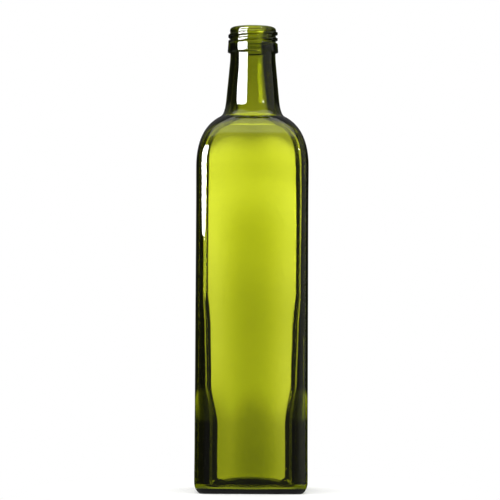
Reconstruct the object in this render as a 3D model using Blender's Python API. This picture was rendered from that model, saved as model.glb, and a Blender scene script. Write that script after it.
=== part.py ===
"""An empty marasca bottle: a square green glass bottle with a round neck and a screw finish.

Metres, +Z up. The origin is the centre of the ring that the bottle rests on, and the four
panels face +X, -X, +Y and -Y. The glass is one closed wall: its outer skin climbs from the
push-up under the base to the lip, and its inner skin goes back down through the neck.
"""

import math

import bmesh
import bpy

MM = 0.001

# Driving dimensions, in millimetres.
HEIGHT = 282.6
BODY_WIDTH = 67.8
CORNER_RADIUS = 8.3
PANEL_RECESS = 0.1
RECESS_BORDER = 0.12
BODY_TAPER = 0.15
EDGE_WALL = 2.0
NECK_WALL = 3.05
FLOOR_WALL = 4.5

# The base: a flat ring to rest on, a heel that curves up from it and a hollow inside it.
HEEL_HEIGHT = 6.5
HEEL_RADIUS = 8.2
RING_WIDTH = 5.0
PUSH_UP = 5.0
PUSH_UP_CORNER = 12.5

# The shoulder is a quarter of a slightly full ellipse in side view, cut off below the neck.
SHOULDER_START = 195.0
SHOULDER_RISE = 35.1
SHOULDER_INSET = 25.0
SHOULDER_POWER = 2.2
SHOULDER_END = 227.4
ROUNDNESS_POWER = 3.4

# The neck is a cone, with a hollow curve at its foot and a narrow collar under the finish.
NECK_START = 238.0
NECK_FOOT_RADIUS = 16.22
COLLAR_START = 262.3
COLLAR_RADIUS = 13.95
UNDERCUT_RADIUS = 13.82
UNDERCUT_DEPTH = 1.9

# The wall up the shoulder and the neck, as heights and thicknesses. It is thinnest half way
# up the shoulder, where the blown glass stretched the most.
WALL_STAGES = (
    (SHOULDER_START, EDGE_WALL),
    (218.0, 1.7),
    (236.0, 2.6),
    (COLLAR_START, NECK_WALL),
)

# The finish, from the bead that holds a closure's seal band up to the lip.
BEAD_BOTTOM = 267.3
BEAD_TOP = 272.8
BEAD_LOWER_RADIUS = 15.5
BEAD_UPPER_RADIUS = 15.2
BEAD_ROUNDING = 0.35
FINISH_RADIUS = 14.0
LIP_START = 280.1
LIP_RADIUS = 14.15
LIP_ROUNDING = 1.9
SLOPE_HEIGHT = 0.5
BORE_ROUNDING = 0.7
BORE_RADIUS = COLLAR_RADIUS - NECK_WALL

# The thread: one right-hand ridge that fades out at both ends. Its angles are in degrees.
THREAD_PITCH = 3.55
THREAD_LEVEL = 275.4
THREAD_FROM = -215.0
THREAD_TO = 415.0
THREAD_FADE = 28.0
THREAD_STEP = 7.5
THREAD_CREST_RADIUS = 15.15
THREAD_CREST_WIDTH = 0.55
THREAD_FLANK = 0.75
THREAD_ROOT_WIDTH = 2.3
THREAD_SINK = 0.6

# The cavity's corners follow the outer ones high up and are rounder below, where the glass
# is thicker: a height, the inner corner radius and the wall in a panel's middle, from the top.
CAVITY_STAGES = (
    (190.0, 6.5, 2.4),
    (150.0, 6.5, 2.9),
    (120.0, 6.5, 2.9),
    (98.0, 7.4, 2.9),
    (66.0, 8.0, 2.9),
    (40.0, 11.9, 3.1),
)
INNER_HEEL_RADIUS = 2.6
INNER_HEEL_SWEEP = 75.0
FLOOR_EDGE_HEIGHT = 3.4
FLOOR_DOME_POWER = 3.0

# Points of one section: each quarter has a flat half, a corner arc and another flat half.
FLAT_STEPS = 3
ARC_STEPS = 8
QUARTER = math.pi / 2

# Where the sections lie, as steps or as shares of the way across each zone.
PUSH_UP_SHARES = (0.35, 0.65, 0.88, 1.0)
HEEL_SHARES = (0.0, 0.1, 0.3, 0.6, 1.0)
FLOOR_SHARES = (1.0, 0.75, 0.5, 0.25)
SHOULDER_STEPS = 9
FILLET_STEPS = 5
STAGE_STEPS = 3
INNER_HEEL_STEPS = 3
LIP_STEPS = 4
BORE_STEPS = 2

GLASS_COLOUR = (0.30, 0.34, 0.03, 1.0)
GLASS_ROUGHNESS = 0.03
GLASS_INDEX = 1.52
SMOOTH_UP_TO = 40.0
TINY = 0.01


def clear_scene():
    """Removes whatever the file held."""
    for obj in list(bpy.data.objects):
        bpy.data.objects.remove(obj)


def smooth_step(value):
    """0 below 0, 1 above 1 and an even S between."""
    value = min(max(value, 0.0), 1.0)
    return value * value * (3 - 2 * value)


def mix(low, high, share):
    """The value that lies that share of the way from low to high."""
    return low + (high - low) * share


def arc(last, steps):
    """Evenly spread angles in radians, from 0 up to a number of degrees."""
    return [math.radians(last * step / steps) for step in range(steps + 1)]


def heel_inset(height):
    """How far the heel's outer skin stands in from the body's, up to the heel's top."""
    drop = max(0.0, HEEL_HEIGHT - height)
    return HEEL_RADIUS - math.sqrt(HEEL_RADIUS**2 - drop**2)


def outer_half_width(height):
    """Half the distance between opposite outer faces, from the ring to the shoulder's end."""
    half = BODY_WIDTH / 2
    if height < HEEL_HEIGHT:
        return half - heel_inset(height)
    if height > SHOULDER_START:
        rise = (height - SHOULDER_START) / SHOULDER_RISE
        fall = 1 - (1 - rise**SHOULDER_POWER) ** (1 / SHOULDER_POWER)
        return half - BODY_TAPER - SHOULDER_INSET * fall
    along = (height - HEEL_HEIGHT) / (SHOULDER_START - HEEL_HEIGHT)
    recess = smooth_step(along / RECESS_BORDER) * smooth_step((1 - along) / RECESS_BORDER)
    return half - BODY_TAPER * along - PANEL_RECESS * recess


def roundness(height):
    """0 where the section is the body's square, 1 where it is the neck's circle."""
    share = smooth_step((height - SHOULDER_START) / (NECK_START - SHOULDER_START))
    return share**ROUNDNESS_POWER


def quarter_angles(half_width, corner, share):
    """Angles of one quarter's points, gathered at the corner where the section is square."""
    middle = half_width - corner
    flat_end = math.atan2(middle, half_width)
    steps = 2 * FLAT_STEPS + ARC_STEPS
    angles = []
    for index in range(steps):
        if index <= FLAT_STEPS:
            square = flat_end * index / FLAT_STEPS
        elif index >= FLAT_STEPS + ARC_STEPS:
            square = QUARTER - flat_end * (steps - index) / FLAT_STEPS
        else:
            turn = QUARTER * (index - FLAT_STEPS) / ARC_STEPS
            square = math.atan2(
                middle + corner * math.sin(turn), middle + corner * math.cos(turn)
            )
        angles.append(mix(square, QUARTER * index / steps, share))
    return angles


def section_radius(angle, half_width, corner, bow):
    """Distance from the axis to a rounded square whose faces bow inwards, in one direction."""
    turn = abs((angle + QUARTER / 2) % QUARTER - QUARTER / 2)
    middle = half_width - corner
    if turn <= math.atan2(middle, half_width):
        beside = half_width * math.tan(turn) / middle if middle > 0 else 0.0
        face = half_width - bow * math.cos(beside * QUARTER) ** 2
        return face / math.cos(turn)
    along = middle * (math.cos(turn) + math.sin(turn))
    across = middle * (math.cos(turn) - math.sin(turn))
    return along + math.sqrt(corner**2 - across**2)


def section(height, half_width, corner, share, bow=0.0):
    """One closed row of points round the axis, anticlockwise from above.

    corner is the radius of the square's corners. share is 0 for points that gather at the
    corners and 1 for evenly spread ones, and bow is how far the faces' middles stand in.
    """
    corner = min(corner, half_width)
    points = []
    for quarter in range(4):
        for angle in quarter_angles(half_width, corner, share):
            turned = angle + quarter * QUARTER
            reach = section_radius(turned, half_width, corner, bow)
            points.append((reach * math.cos(turned), reach * math.sin(turned), height))
    return points


def outer_section(height, half_width):
    """A section of the outer skin, from the resting ring to the neck's foot."""
    share = roundness(height)
    corner = mix(CORNER_RADIUS - heel_inset(height), half_width, share)
    return section(height, half_width, corner, share)


def round_section(height, radius):
    """A section of the neck or the finish."""
    return section(height, radius, radius, 1.0)


def wall_at(height):
    """How thick the wall is at a height of the shoulder or the neck."""
    for below, above in zip(WALL_STAGES, WALL_STAGES[1:]):
        if height <= above[0]:
            share = smooth_step((height - below[0]) / (above[0] - below[0]))
            return mix(below[1], above[1], share)
    return NECK_WALL


def cavity_half_width(height):
    """Half the width of the cavity at the panels' edges, below the shoulder."""
    along = max(height - HEEL_HEIGHT, 0.0) / (SHOULDER_START - HEEL_HEIGHT)
    return BODY_WIDTH / 2 - BODY_TAPER * along - EDGE_WALL


def cavity_stage(height):
    """The inner corner radius and the wall in a panel's middle, at a height of the cavity."""
    for above, below in zip(CAVITY_STAGES, CAVITY_STAGES[1:]):
        if height >= below[0]:
            share = smooth_step((above[0] - height) / (above[0] - below[0]))
            return mix(above[1], below[1], share), mix(above[2], below[2], share)
    return CAVITY_STAGES[-1][1:]


def inner_section(height, half_width, share=0.0, inset=0.0):
    """A section of the cavity, whose panels are thicker in their middle than at their edges."""
    corner, panel_wall = cavity_stage(height)
    bow = (panel_wall - EDGE_WALL) * (1 - share) * (1 - inset / INNER_HEEL_RADIUS)
    return section(height, half_width - inset, mix(corner - inset, half_width, share), share, bow)


def bezier(first, control, last, share):
    """A point of the curve that leaves first and reaches last, both towards control."""
    back = 1 - share
    return tuple(
        back * back * a + 2 * back * share * b + share * share * c
        for a, b, c in zip(first, control, last)
    )


def shoulder_profile():
    """(half width, height) points up the shoulder, closer together where it turns faster."""
    last = math.degrees(math.asin((SHOULDER_END - SHOULDER_START) / SHOULDER_RISE))
    heights = [SHOULDER_START + SHOULDER_RISE * math.sin(turn) for turn in arc(last, SHOULDER_STEPS)]
    return [(outer_half_width(height), height) for height in heights]


def fillet_profile():
    """(radius, height) points of the hollow curve that turns the shoulder into the neck."""
    foot = (outer_half_width(SHOULDER_END), SHOULDER_END)
    top = (NECK_FOOT_RADIUS, NECK_START)
    shoulder_lean = (foot[0] - outer_half_width(SHOULDER_END - TINY)) / TINY
    neck_lean = (COLLAR_RADIUS - NECK_FOOT_RADIUS) / (COLLAR_START - NECK_START)
    meet = (top[0] - foot[0] + shoulder_lean * foot[1] - neck_lean * top[1]) / (
        shoulder_lean - neck_lean
    )
    control = (foot[0] + shoulder_lean * (meet - foot[1]), meet)
    return [bezier(foot, control, top, step / FILLET_STEPS) for step in range(1, FILLET_STEPS + 1)]


def neck_profile():
    """(radius, height) points of the neck's cone, above its foot."""
    middle = ((NECK_FOOT_RADIUS + COLLAR_RADIUS) / 2, (NECK_START + COLLAR_START) / 2)
    return [middle, (COLLAR_RADIUS, COLLAR_START)]


def finish_profile():
    """(radius, height) points from the collar over the bead, up to the lip and into the bore."""
    points = [
        (UNDERCUT_RADIUS, BEAD_BOTTOM - UNDERCUT_DEPTH),
        (UNDERCUT_RADIUS, BEAD_BOTTOM - BEAD_ROUNDING),
        (UNDERCUT_RADIUS + BEAD_ROUNDING, BEAD_BOTTOM),
        (BEAD_LOWER_RADIUS - BEAD_ROUNDING, BEAD_BOTTOM),
        (BEAD_LOWER_RADIUS, BEAD_BOTTOM + BEAD_ROUNDING),
        (BEAD_UPPER_RADIUS, BEAD_TOP - 2 * BEAD_ROUNDING),
        (BEAD_UPPER_RADIUS - BEAD_ROUNDING, BEAD_TOP - BEAD_ROUNDING / 2),
        (FINISH_RADIUS, BEAD_TOP + SLOPE_HEIGHT),
        (FINISH_RADIUS, LIP_START - SLOPE_HEIGHT / 2),
        (LIP_RADIUS, LIP_START + SLOPE_HEIGHT / 2),
    ]
    for angle in arc(90, LIP_STEPS):
        inset = LIP_ROUNDING * (1 - math.cos(angle))
        points.append((LIP_RADIUS - inset, HEIGHT - LIP_ROUNDING * (1 - math.sin(angle))))
    for angle in arc(90, BORE_STEPS):
        flare = BORE_ROUNDING * (1 - math.sin(angle))
        points.append((BORE_RADIUS + flare, HEIGHT - BORE_ROUNDING * (1 - math.cos(angle))))
    return points


def cavity_profile(points):
    """The cavity's (half width, height, roundness) points, one wall inside an outer profile."""
    inset = []
    for index, (half, height) in enumerate(points):
        before = points[max(index - 1, 0)]
        after = points[min(index + 1, len(points) - 1)]
        length = math.dist(before, after)
        outwards = (after[1] - before[1]) / length
        upwards = (before[0] - after[0]) / length
        wall = wall_at(height)
        inset.append((half - wall * outwards, height - wall * upwards, roundness(height)))
    return inset


def under_sections():
    """The push-up under the base, from near its middle out to the resting ring."""
    edge = outer_half_width(0.0) - RING_WIDTH
    rows = []
    for share in PUSH_UP_SHARES:
        half = edge * share
        corner = mix(half, PUSH_UP_CORNER, share)
        rows.append(section(PUSH_UP * (1 - share**2), half, corner, 1 - share))
    return rows


def outer_sections():
    """Every outer section from the resting ring to the bore, lowest first."""
    body = SHOULDER_START - HEEL_HEIGHT
    heights = [HEEL_HEIGHT * share for share in HEEL_SHARES]
    for share in (RECESS_BORDER / 2, RECESS_BORDER, 1 - RECESS_BORDER, 1 - RECESS_BORDER / 2):
        heights.append(HEEL_HEIGHT + body * share)
    rows = [outer_section(height, outer_half_width(height)) for height in heights]
    rows += [outer_section(height, half) for half, height in shoulder_profile() + fillet_profile()]
    rows += [round_section(height, radius) for radius, height in neck_profile() + finish_profile()]
    return rows


def inner_sections():
    """Every section of the cavity from under the lip to the foot of the wall, highest first."""
    rows = [round_section(BEAD_TOP, BORE_RADIUS)]
    skin = cavity_profile(shoulder_profile() + fillet_profile() + neck_profile())
    rows += [inner_section(height, half, share) for half, height, share in reversed(skin)]
    for above, below in zip(CAVITY_STAGES, CAVITY_STAGES[1:]):
        for step in range(STAGE_STEPS):
            height = mix(above[0], below[0], step / STAGE_STEPS)
            rows.append(inner_section(height, cavity_half_width(height)))
    last = CAVITY_STAGES[-1][0]
    rows.append(inner_section(last, cavity_half_width(last)))
    for angle in arc(INNER_HEEL_SWEEP, INNER_HEEL_STEPS):
        inset = INNER_HEEL_RADIUS * (1 - math.cos(angle))
        height = FLOOR_EDGE_HEIGHT + INNER_HEEL_RADIUS * (1 - math.sin(angle))
        rows.append(inner_section(height, cavity_half_width(height), inset=inset))
    return rows


def floor_sections():
    """The inside of the floor, from the foot of the wall up over the push-up."""
    edge = BODY_WIDTH / 2 - EDGE_WALL - INNER_HEEL_RADIUS
    edge_corner = CAVITY_STAGES[-1][1] - INNER_HEEL_RADIUS
    rows = []
    for share in FLOOR_SHARES:
        fall = share**FLOOR_DOME_POWER
        height = mix(PUSH_UP + FLOOR_WALL, FLOOR_EDGE_HEIGHT, fall)
        half = edge * share
        rows.append(section(height, half, mix(half, edge_corner, share), 1 - share))
    return rows


def bridge(shape, rows):
    """Vertices for each closed row of points, in millimetres, and faces from row to row."""
    loops = [[shape.verts.new([MM * value for value in point]) for point in row] for row in rows]
    for low, high in zip(loops, loops[1:]):
        for here in range(len(low)):
            there = (here + 1) % len(low)
            shape.faces.new((low[here], low[there], high[there], high[here]))
    return loops


def add_object(name, shape):
    """The bmesh as a new object, with its faces pointing out of the solid."""
    bmesh.ops.recalc_face_normals(shape, faces=shape.faces)
    mesh = bpy.data.meshes.new(name)
    shape.to_mesh(mesh)
    shape.free()
    obj = bpy.data.objects.new(name, mesh)
    bpy.context.scene.collection.objects.link(obj)
    return obj


def bottle_wall():
    """The wall without its thread: one loft from the push-up to the inside of the floor."""
    shape = bmesh.new()
    rows = under_sections() + outer_sections() + inner_sections() + floor_sections()
    loops = bridge(shape, rows)
    for loop, height in ((loops[0], PUSH_UP), (loops[-1], PUSH_UP + FLOOR_WALL)):
        middle = shape.verts.new((0.0, 0.0, MM * height))
        for here in range(len(loop)):
            shape.faces.new((loop[here], loop[(here + 1) % len(loop)], middle))
    return add_object("bottle", shape)


def thread_outline(turned):
    """One cross-section of the thread at an angle in degrees, as (radius, height) points."""
    fade = smooth_step(min(turned - THREAD_FROM, THREAD_TO - turned) / THREAD_FADE)
    sunk = FINISH_RADIUS - THREAD_SINK
    crest = mix(FINISH_RADIUS - THREAD_SINK / 2, THREAD_CREST_RADIUS, fade)
    level = THREAD_LEVEL + THREAD_PITCH * turned / 360
    lower = [
        (sunk, -THREAD_ROOT_WIDTH / 2),
        (mix(sunk, crest, THREAD_FLANK), -THREAD_ROOT_WIDTH / 3),
        (crest, -THREAD_CREST_WIDTH / 2),
    ]
    upper = [(radius, -lift) for radius, lift in reversed(lower)]
    return [(radius, level + lift) for radius, lift in lower + upper]


def thread_ridge():
    """The screw thread, as a closed bar that winds round the finish and sinks in at its ends."""
    shape = bmesh.new()
    steps = round((THREAD_TO - THREAD_FROM) / THREAD_STEP)
    rows = []
    for step in range(steps + 1):
        turned = mix(THREAD_FROM, THREAD_TO, step / steps)
        across, along = math.cos(math.radians(turned)), math.sin(math.radians(turned))
        rows.append([(r * across, r * along, height) for r, height in thread_outline(turned)])
    loops = bridge(shape, rows)
    shape.faces.new(loops[0])
    shape.faces.new(loops[-1])
    ridge = add_object("thread_ridge", shape)
    ridge.hide_render = True
    ridge.display_type = "WIRE"
    return ridge


def green_glass():
    """The bottle's see-through yellowish green glass."""
    material = bpy.data.materials.new("green_glass")
    material.use_nodes = True
    shader = material.node_tree.nodes["Principled BSDF"]
    shader.inputs["Base Color"].default_value = GLASS_COLOUR
    shader.inputs["Roughness"].default_value = GLASS_ROUGHNESS
    shader.inputs["IOR"].default_value = GLASS_INDEX
    shader.inputs["Metallic"].default_value = 0.0
    shader.inputs["Transmission Weight"].default_value = 1.0
    return material


def build_bottle():
    """The whole bottle: the lofted wall with the thread joined on."""
    bottle = bottle_wall()
    join = bottle.modifiers.new("thread", "BOOLEAN")
    join.operation = "UNION"
    join.solver = "EXACT"
    join.object = thread_ridge()
    bottle.data.materials.append(green_glass())
    bottle.data.shade_smooth()
    bottle.data.set_sharp_from_angle(angle=math.radians(SMOOTH_UP_TO))


def main():
    """Builds the bottle in an empty scene."""
    clear_scene()
    build_bottle()


main()
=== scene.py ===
"""The looks of an empty marasca bottle: square, of yellowish green glass, with a screw finish.

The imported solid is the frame. One finely shaped glass wall stands for it, with the thread,
the mould seams, the marks on the resting ring, a faintly uneven inside, a few thicker places
low down and small bubbles. The bottle's shape is in millimetres until its mesh is made. The
materials and the studio are in metres.
"""

import logging
import math
from dataclasses import dataclass
from enum import Enum
from typing import Any, Mapping, Sequence

import bpy
import numpy as np
from mathutils import Matrix


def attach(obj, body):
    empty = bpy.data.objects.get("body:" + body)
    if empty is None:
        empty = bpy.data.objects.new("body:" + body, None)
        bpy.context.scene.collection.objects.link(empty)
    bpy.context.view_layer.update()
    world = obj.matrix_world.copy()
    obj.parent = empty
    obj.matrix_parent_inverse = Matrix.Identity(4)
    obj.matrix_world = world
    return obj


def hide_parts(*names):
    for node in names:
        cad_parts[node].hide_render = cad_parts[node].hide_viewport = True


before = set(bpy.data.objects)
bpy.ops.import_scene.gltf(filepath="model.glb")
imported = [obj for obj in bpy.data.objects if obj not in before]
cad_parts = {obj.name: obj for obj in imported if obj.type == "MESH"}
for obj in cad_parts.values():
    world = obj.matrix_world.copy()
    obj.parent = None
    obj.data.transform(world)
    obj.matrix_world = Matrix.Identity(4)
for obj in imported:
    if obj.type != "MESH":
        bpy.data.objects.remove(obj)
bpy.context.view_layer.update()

MM = 0.001
QUARTER = math.pi / 2
TINY = 1e-6
PHOTO_SIDE = 500
SENSOR = 36.0

Colour = tuple[float, float, float]
Points = np.ndarray
Faces = list[tuple[int, ...]]
Outline = list[tuple[float, float]]
BubblePlace = tuple[int, float, float, float]

log = logging.getLogger("marasca_bottle")


def smooth_step(value: float | np.ndarray) -> float | np.ndarray:
    """0 below 0, 1 above 1 and an even S between."""
    value = np.clip(value, 0.0, 1.0)
    return value * value * (3 - 2 * value)


def mix(low: float, high: float, share: float) -> float:
    """The value that lies that share of the way from low to high."""
    return low + (high - low) * share


class Skin(Enum):
    """Which side of the glass wall a ring of points lies on."""

    UNDER = "under the base"
    OUTER = "outside"
    INNER = "inside"


@dataclass(frozen=True)
class Ring:
    """One level row of points round the bottle.

    Attributes:
        half: half the distance between opposite faces, or the radius where it is round.
        height: the height above what the bottle stands on.
        corner: the radius of the corners.
        share: 0 where the points gather at the corners, 1 where they are spread evenly.
        skin: the side of the wall that the ring lies on.
        bow: how far the middle of each face stands in.
    """

    half: float
    height: float
    corner: float
    share: float
    skin: Skin
    bow: float = 0.0


@dataclass(frozen=True)
class Section:
    """The plan of a ring: a square with round corners, which may be a full circle.

    Attributes:
        flat_steps: steps across half a face.
        arc_steps: steps round a corner.
    """

    flat_steps: int = 12
    arc_steps: int = 24

    @property
    def count(self) -> int:
        """The number of points in a ring."""
        return 4 * (2 * self.flat_steps + self.arc_steps)

    def angles(self, half: float, corner: float, share: float) -> np.ndarray:
        """The directions of a ring's points from the axis.

        Args:
            half: half the distance between opposite faces.
            corner: the radius of the corners.
            share: 0 where the points gather at the corners, 1 for an even spread.

        Returns:
            One angle for each point, anticlockwise from the +X face's middle.
        """
        middle = half - corner
        flat_end = math.atan2(middle, half)
        steps = 2 * self.flat_steps + self.arc_steps
        index = np.arange(steps)
        turn = QUARTER * (index - self.flat_steps) / self.arc_steps
        square = np.arctan2(middle + corner * np.sin(turn), middle + corner * np.cos(turn))
        before = index <= self.flat_steps
        square[before] = flat_end * index[before] / self.flat_steps
        after = index >= self.flat_steps + self.arc_steps
        square[after] = QUARTER - flat_end * (steps - index[after]) / self.flat_steps
        quarter = square * (1 - share) + QUARTER * index / steps * share
        return np.concatenate([quarter + QUARTER * side for side in range(4)])

    def reach(self, angles: np.ndarray, half: float, corner: float, bow: float) -> np.ndarray:
        """The distances of a ring's points from the axis.

        Args:
            angles: the points' directions.
            half: half the distance between opposite faces.
            corner: the radius of the corners.
            bow: how far the middle of each face stands in.

        Returns:
            One distance for each angle.
        """
        turn = np.abs((angles + QUARTER / 2) % QUARTER - QUARTER / 2)
        middle = max(half - corner, TINY)
        beside = np.clip(half * np.tan(turn) / middle, 0.0, 1.0)
        face = (half - bow * np.cos(beside * QUARTER) ** 2) / np.cos(turn)
        across = middle * (np.cos(turn) - np.sin(turn))
        inside = np.maximum(corner**2 - across**2, 0.0)
        round_part = middle * (np.cos(turn) + np.sin(turn)) + np.sqrt(inside)
        return np.where(turn <= math.atan2(middle, half), face, round_part)

    def points(self, ring: Ring) -> Points:
        """The points of a ring.

        Args:
            ring: the ring.

        Returns:
            Rows of x, y and z, anticlockwise from the +X face's middle.
        """
        corner = min(ring.corner, ring.half)
        angles = self.angles(ring.half, corner, ring.share)
        reach = self.reach(angles, ring.half, corner, ring.bow)
        level = np.full_like(angles, ring.height)
        return np.stack([reach * np.cos(angles), reach * np.sin(angles), level], axis=1)


@dataclass(frozen=True)
class CavityStage:
    """The shape of the cavity at one height of the body.

    Attributes:
        height: the height above what the bottle stands on.
        corner: the radius of the cavity's corners.
        wall: the wall's thickness in the middles of the panels.
    """

    height: float
    corner: float
    wall: float


@dataclass(frozen=True)
class Body:
    """The square body between the heel and the shoulder.

    Attributes:
        width: the distance between opposite panels at their foot.
        corner: the radius of the outer corners.
        bottom: the height where the heel ends.
        top: the height where the shoulder starts.
        taper: how far each panel leans in on its way up.
        recess: how far the panels are sunk.
        recess_border: the share of the height over which they sink at either end.
        edge_wall: the wall's thickness at the panels' edges.
        stages: the cavity's shape at some heights, highest first.
        outer_rows: the steps up the outside.
        inner_rows: the steps down the inside.
    """

    width: float = 67.8
    corner: float = 8.3
    bottom: float = 6.5
    top: float = 195.0
    taper: float = 0.15
    recess: float = 0.1
    recess_border: float = 0.12
    edge_wall: float = 2.0
    stages: tuple[CavityStage, ...] = (
        CavityStage(190.0, 6.5, 2.4),
        CavityStage(150.0, 6.5, 2.9),
        CavityStage(120.0, 6.5, 2.9),
        CavityStage(98.0, 7.4, 2.9),
        CavityStage(66.0, 8.0, 2.9),
        CavityStage(40.0, 11.9, 3.1),
    )
    outer_rows: int = 50
    inner_rows: int = 92

    def half_at(self, height: float) -> float:
        """Half the outer width at a height of the body.

        Args:
            height: the height.

        Returns:
            The distance from the axis to a panel's middle.
        """
        along = (height - self.bottom) / (self.top - self.bottom)
        border = self.recess_border
        sunk = smooth_step(along / border) * smooth_step((1 - along) / border)
        return self.width / 2 - self.taper * along - self.recess * sunk

    def inner_half_at(self, height: float) -> float:
        """Half the width of the cavity at the panels' edges."""
        along = max(height - self.bottom, 0.0) / (self.top - self.bottom)
        return self.width / 2 - self.taper * along - self.edge_wall

    def cavity_at(self, height: float) -> tuple[float, float]:
        """The shape of the cavity at a height.

        Args:
            height: a height of the cavity.

        Returns:
            The radius of its corners, and how far the middles of its faces stand in.
        """
        lowest = self.stages[-1]
        corner, wall = lowest.corner, lowest.wall
        for above, below in zip(self.stages, self.stages[1:]):
            if height >= below.height:
                way = (above.height - height) / (above.height - below.height)
                share = float(smooth_step(way))
                corner = mix(above.corner, below.corner, share)
                wall = mix(above.wall, below.wall, share)
                break
        return corner, wall - self.edge_wall

    def outer(self) -> list[Ring]:
        """The body's outside.

        Returns:
            Its rings, lowest first.
        """
        rings = []
        for height in np.linspace(self.bottom, self.top, self.outer_rows, endpoint=False):
            rings.append(Ring(self.half_at(height), height, self.corner, 0.0, Skin.OUTER))
        return rings

    def inner(self, bottom: float) -> list[Ring]:
        """The body's inside.

        Args:
            bottom: the height where the inside of the heel starts.

        Returns:
            Its rings from under the shoulder down to that height, highest first.
        """
        rings = []
        for height in np.linspace(self.top, bottom, self.inner_rows, endpoint=False)[1:]:
            corner, bow = self.cavity_at(height)
            half = self.inner_half_at(height)
            rings.append(Ring(half, height, corner, 0.0, Skin.INNER, bow))
        return rings


@dataclass(frozen=True)
class Base:
    """The heel, the flat resting ring, the push-up under the base and the floor over it.

    Attributes:
        body: the body over it.
        heel_radius: the radius of the curve from the panels to the resting ring.
        heel_gather: how much closer the heel's rows lie at its foot, as a power.
        ring_width: the width of the resting ring along the panels.
        push_up: the height of the hollow under the base's middle.
        push_up_corner: the corner radius of that hollow's edge.
        floor_wall: the thickness of the glass in the middle.
        floor_edge: the height of the floor's edge inside.
        inner_heel: the radius of the curve from the wall's inside to the floor.
        dome_power: how flat the floor's dome is round its middle.
        nearest: how near the middle the smallest rings lie, as a share of the way out.
        rows: the steps on each stretch.
    """

    body: Body
    heel_radius: float = 8.2
    heel_gather: float = 1.5
    ring_width: float = 5.0
    push_up: float = 5.0
    push_up_corner: float = 12.5
    floor_wall: float = 4.5
    floor_edge: float = 3.4
    inner_heel: float = 2.6
    dome_power: float = 3.0
    nearest: float = 0.06
    rows: int = 16

    def heel_inset(self, height: float) -> float:
        """How far the outside stands in at a height of the heel."""
        drop = self.body.bottom - height
        return self.heel_radius - math.sqrt(self.heel_radius**2 - drop**2)

    @property
    def floor_start(self) -> float:
        """The height where the wall's inside starts to curve into the floor."""
        return self.floor_edge + self.inner_heel

    def under(self) -> list[Ring]:
        """The underside.

        Returns:
            Its rings, from near the middle out over the resting ring.
        """
        outside = self.body.width / 2 - self.heel_inset(0.0)
        edge = outside - self.ring_width
        rings = []
        for share in np.linspace(self.nearest, 1.0, self.rows):
            height = self.push_up * (1 - share**2)
            corner = mix(edge * share, self.push_up_corner, share)
            rings.append(Ring(edge * share, height, corner, 1 - share, Skin.UNDER))
        foot_corner = self.body.corner - self.heel_inset(0.0)
        for share in np.linspace(0.0, 1.0, self.rows // 2)[1:-1]:
            corner = mix(self.push_up_corner, foot_corner, share)
            rings.append(Ring(mix(edge, outside, share), 0.0, corner, 0.0, Skin.UNDER))
        return rings

    def outer(self) -> list[Ring]:
        """The heel's outside.

        Returns:
            Its rings, lowest first.
        """
        rings = []
        for share in np.linspace(0.0, 1.0, self.rows, endpoint=False):
            height = self.body.bottom * share**self.heel_gather
            inset = self.heel_inset(height)
            half = self.body.width / 2 - inset
            rings.append(Ring(half, height, self.body.corner - inset, 0.0, Skin.OUTER))
        return rings

    def inner(self) -> list[Ring]:
        """The heel's inside and the floor.

        Returns:
            Their rings, from the foot of the cavity's wall to near the floor's middle.
        """
        rings = []
        low_corner, low_bow = self.body.cavity_at(self.floor_start)
        for angle in np.linspace(0.0, QUARTER, self.rows, endpoint=False):
            inset = self.inner_heel * (1 - math.cos(angle))
            height = self.floor_start - self.inner_heel * math.sin(angle)
            half = self.body.inner_half_at(height) - inset
            bow = low_bow * math.cos(angle)
            rings.append(Ring(half, height, low_corner - inset, 0.0, Skin.INNER, bow))
        edge = self.body.inner_half_at(self.floor_edge) - self.inner_heel
        middle = self.push_up + self.floor_wall
        for share in np.linspace(1.0, self.nearest, self.rows):
            height = mix(middle, self.floor_edge, share**self.dome_power)
            corner = mix(edge * share, low_corner - self.inner_heel, share)
            rings.append(Ring(edge * share, height, corner, 1 - share, Skin.INNER))
        return rings


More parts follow.
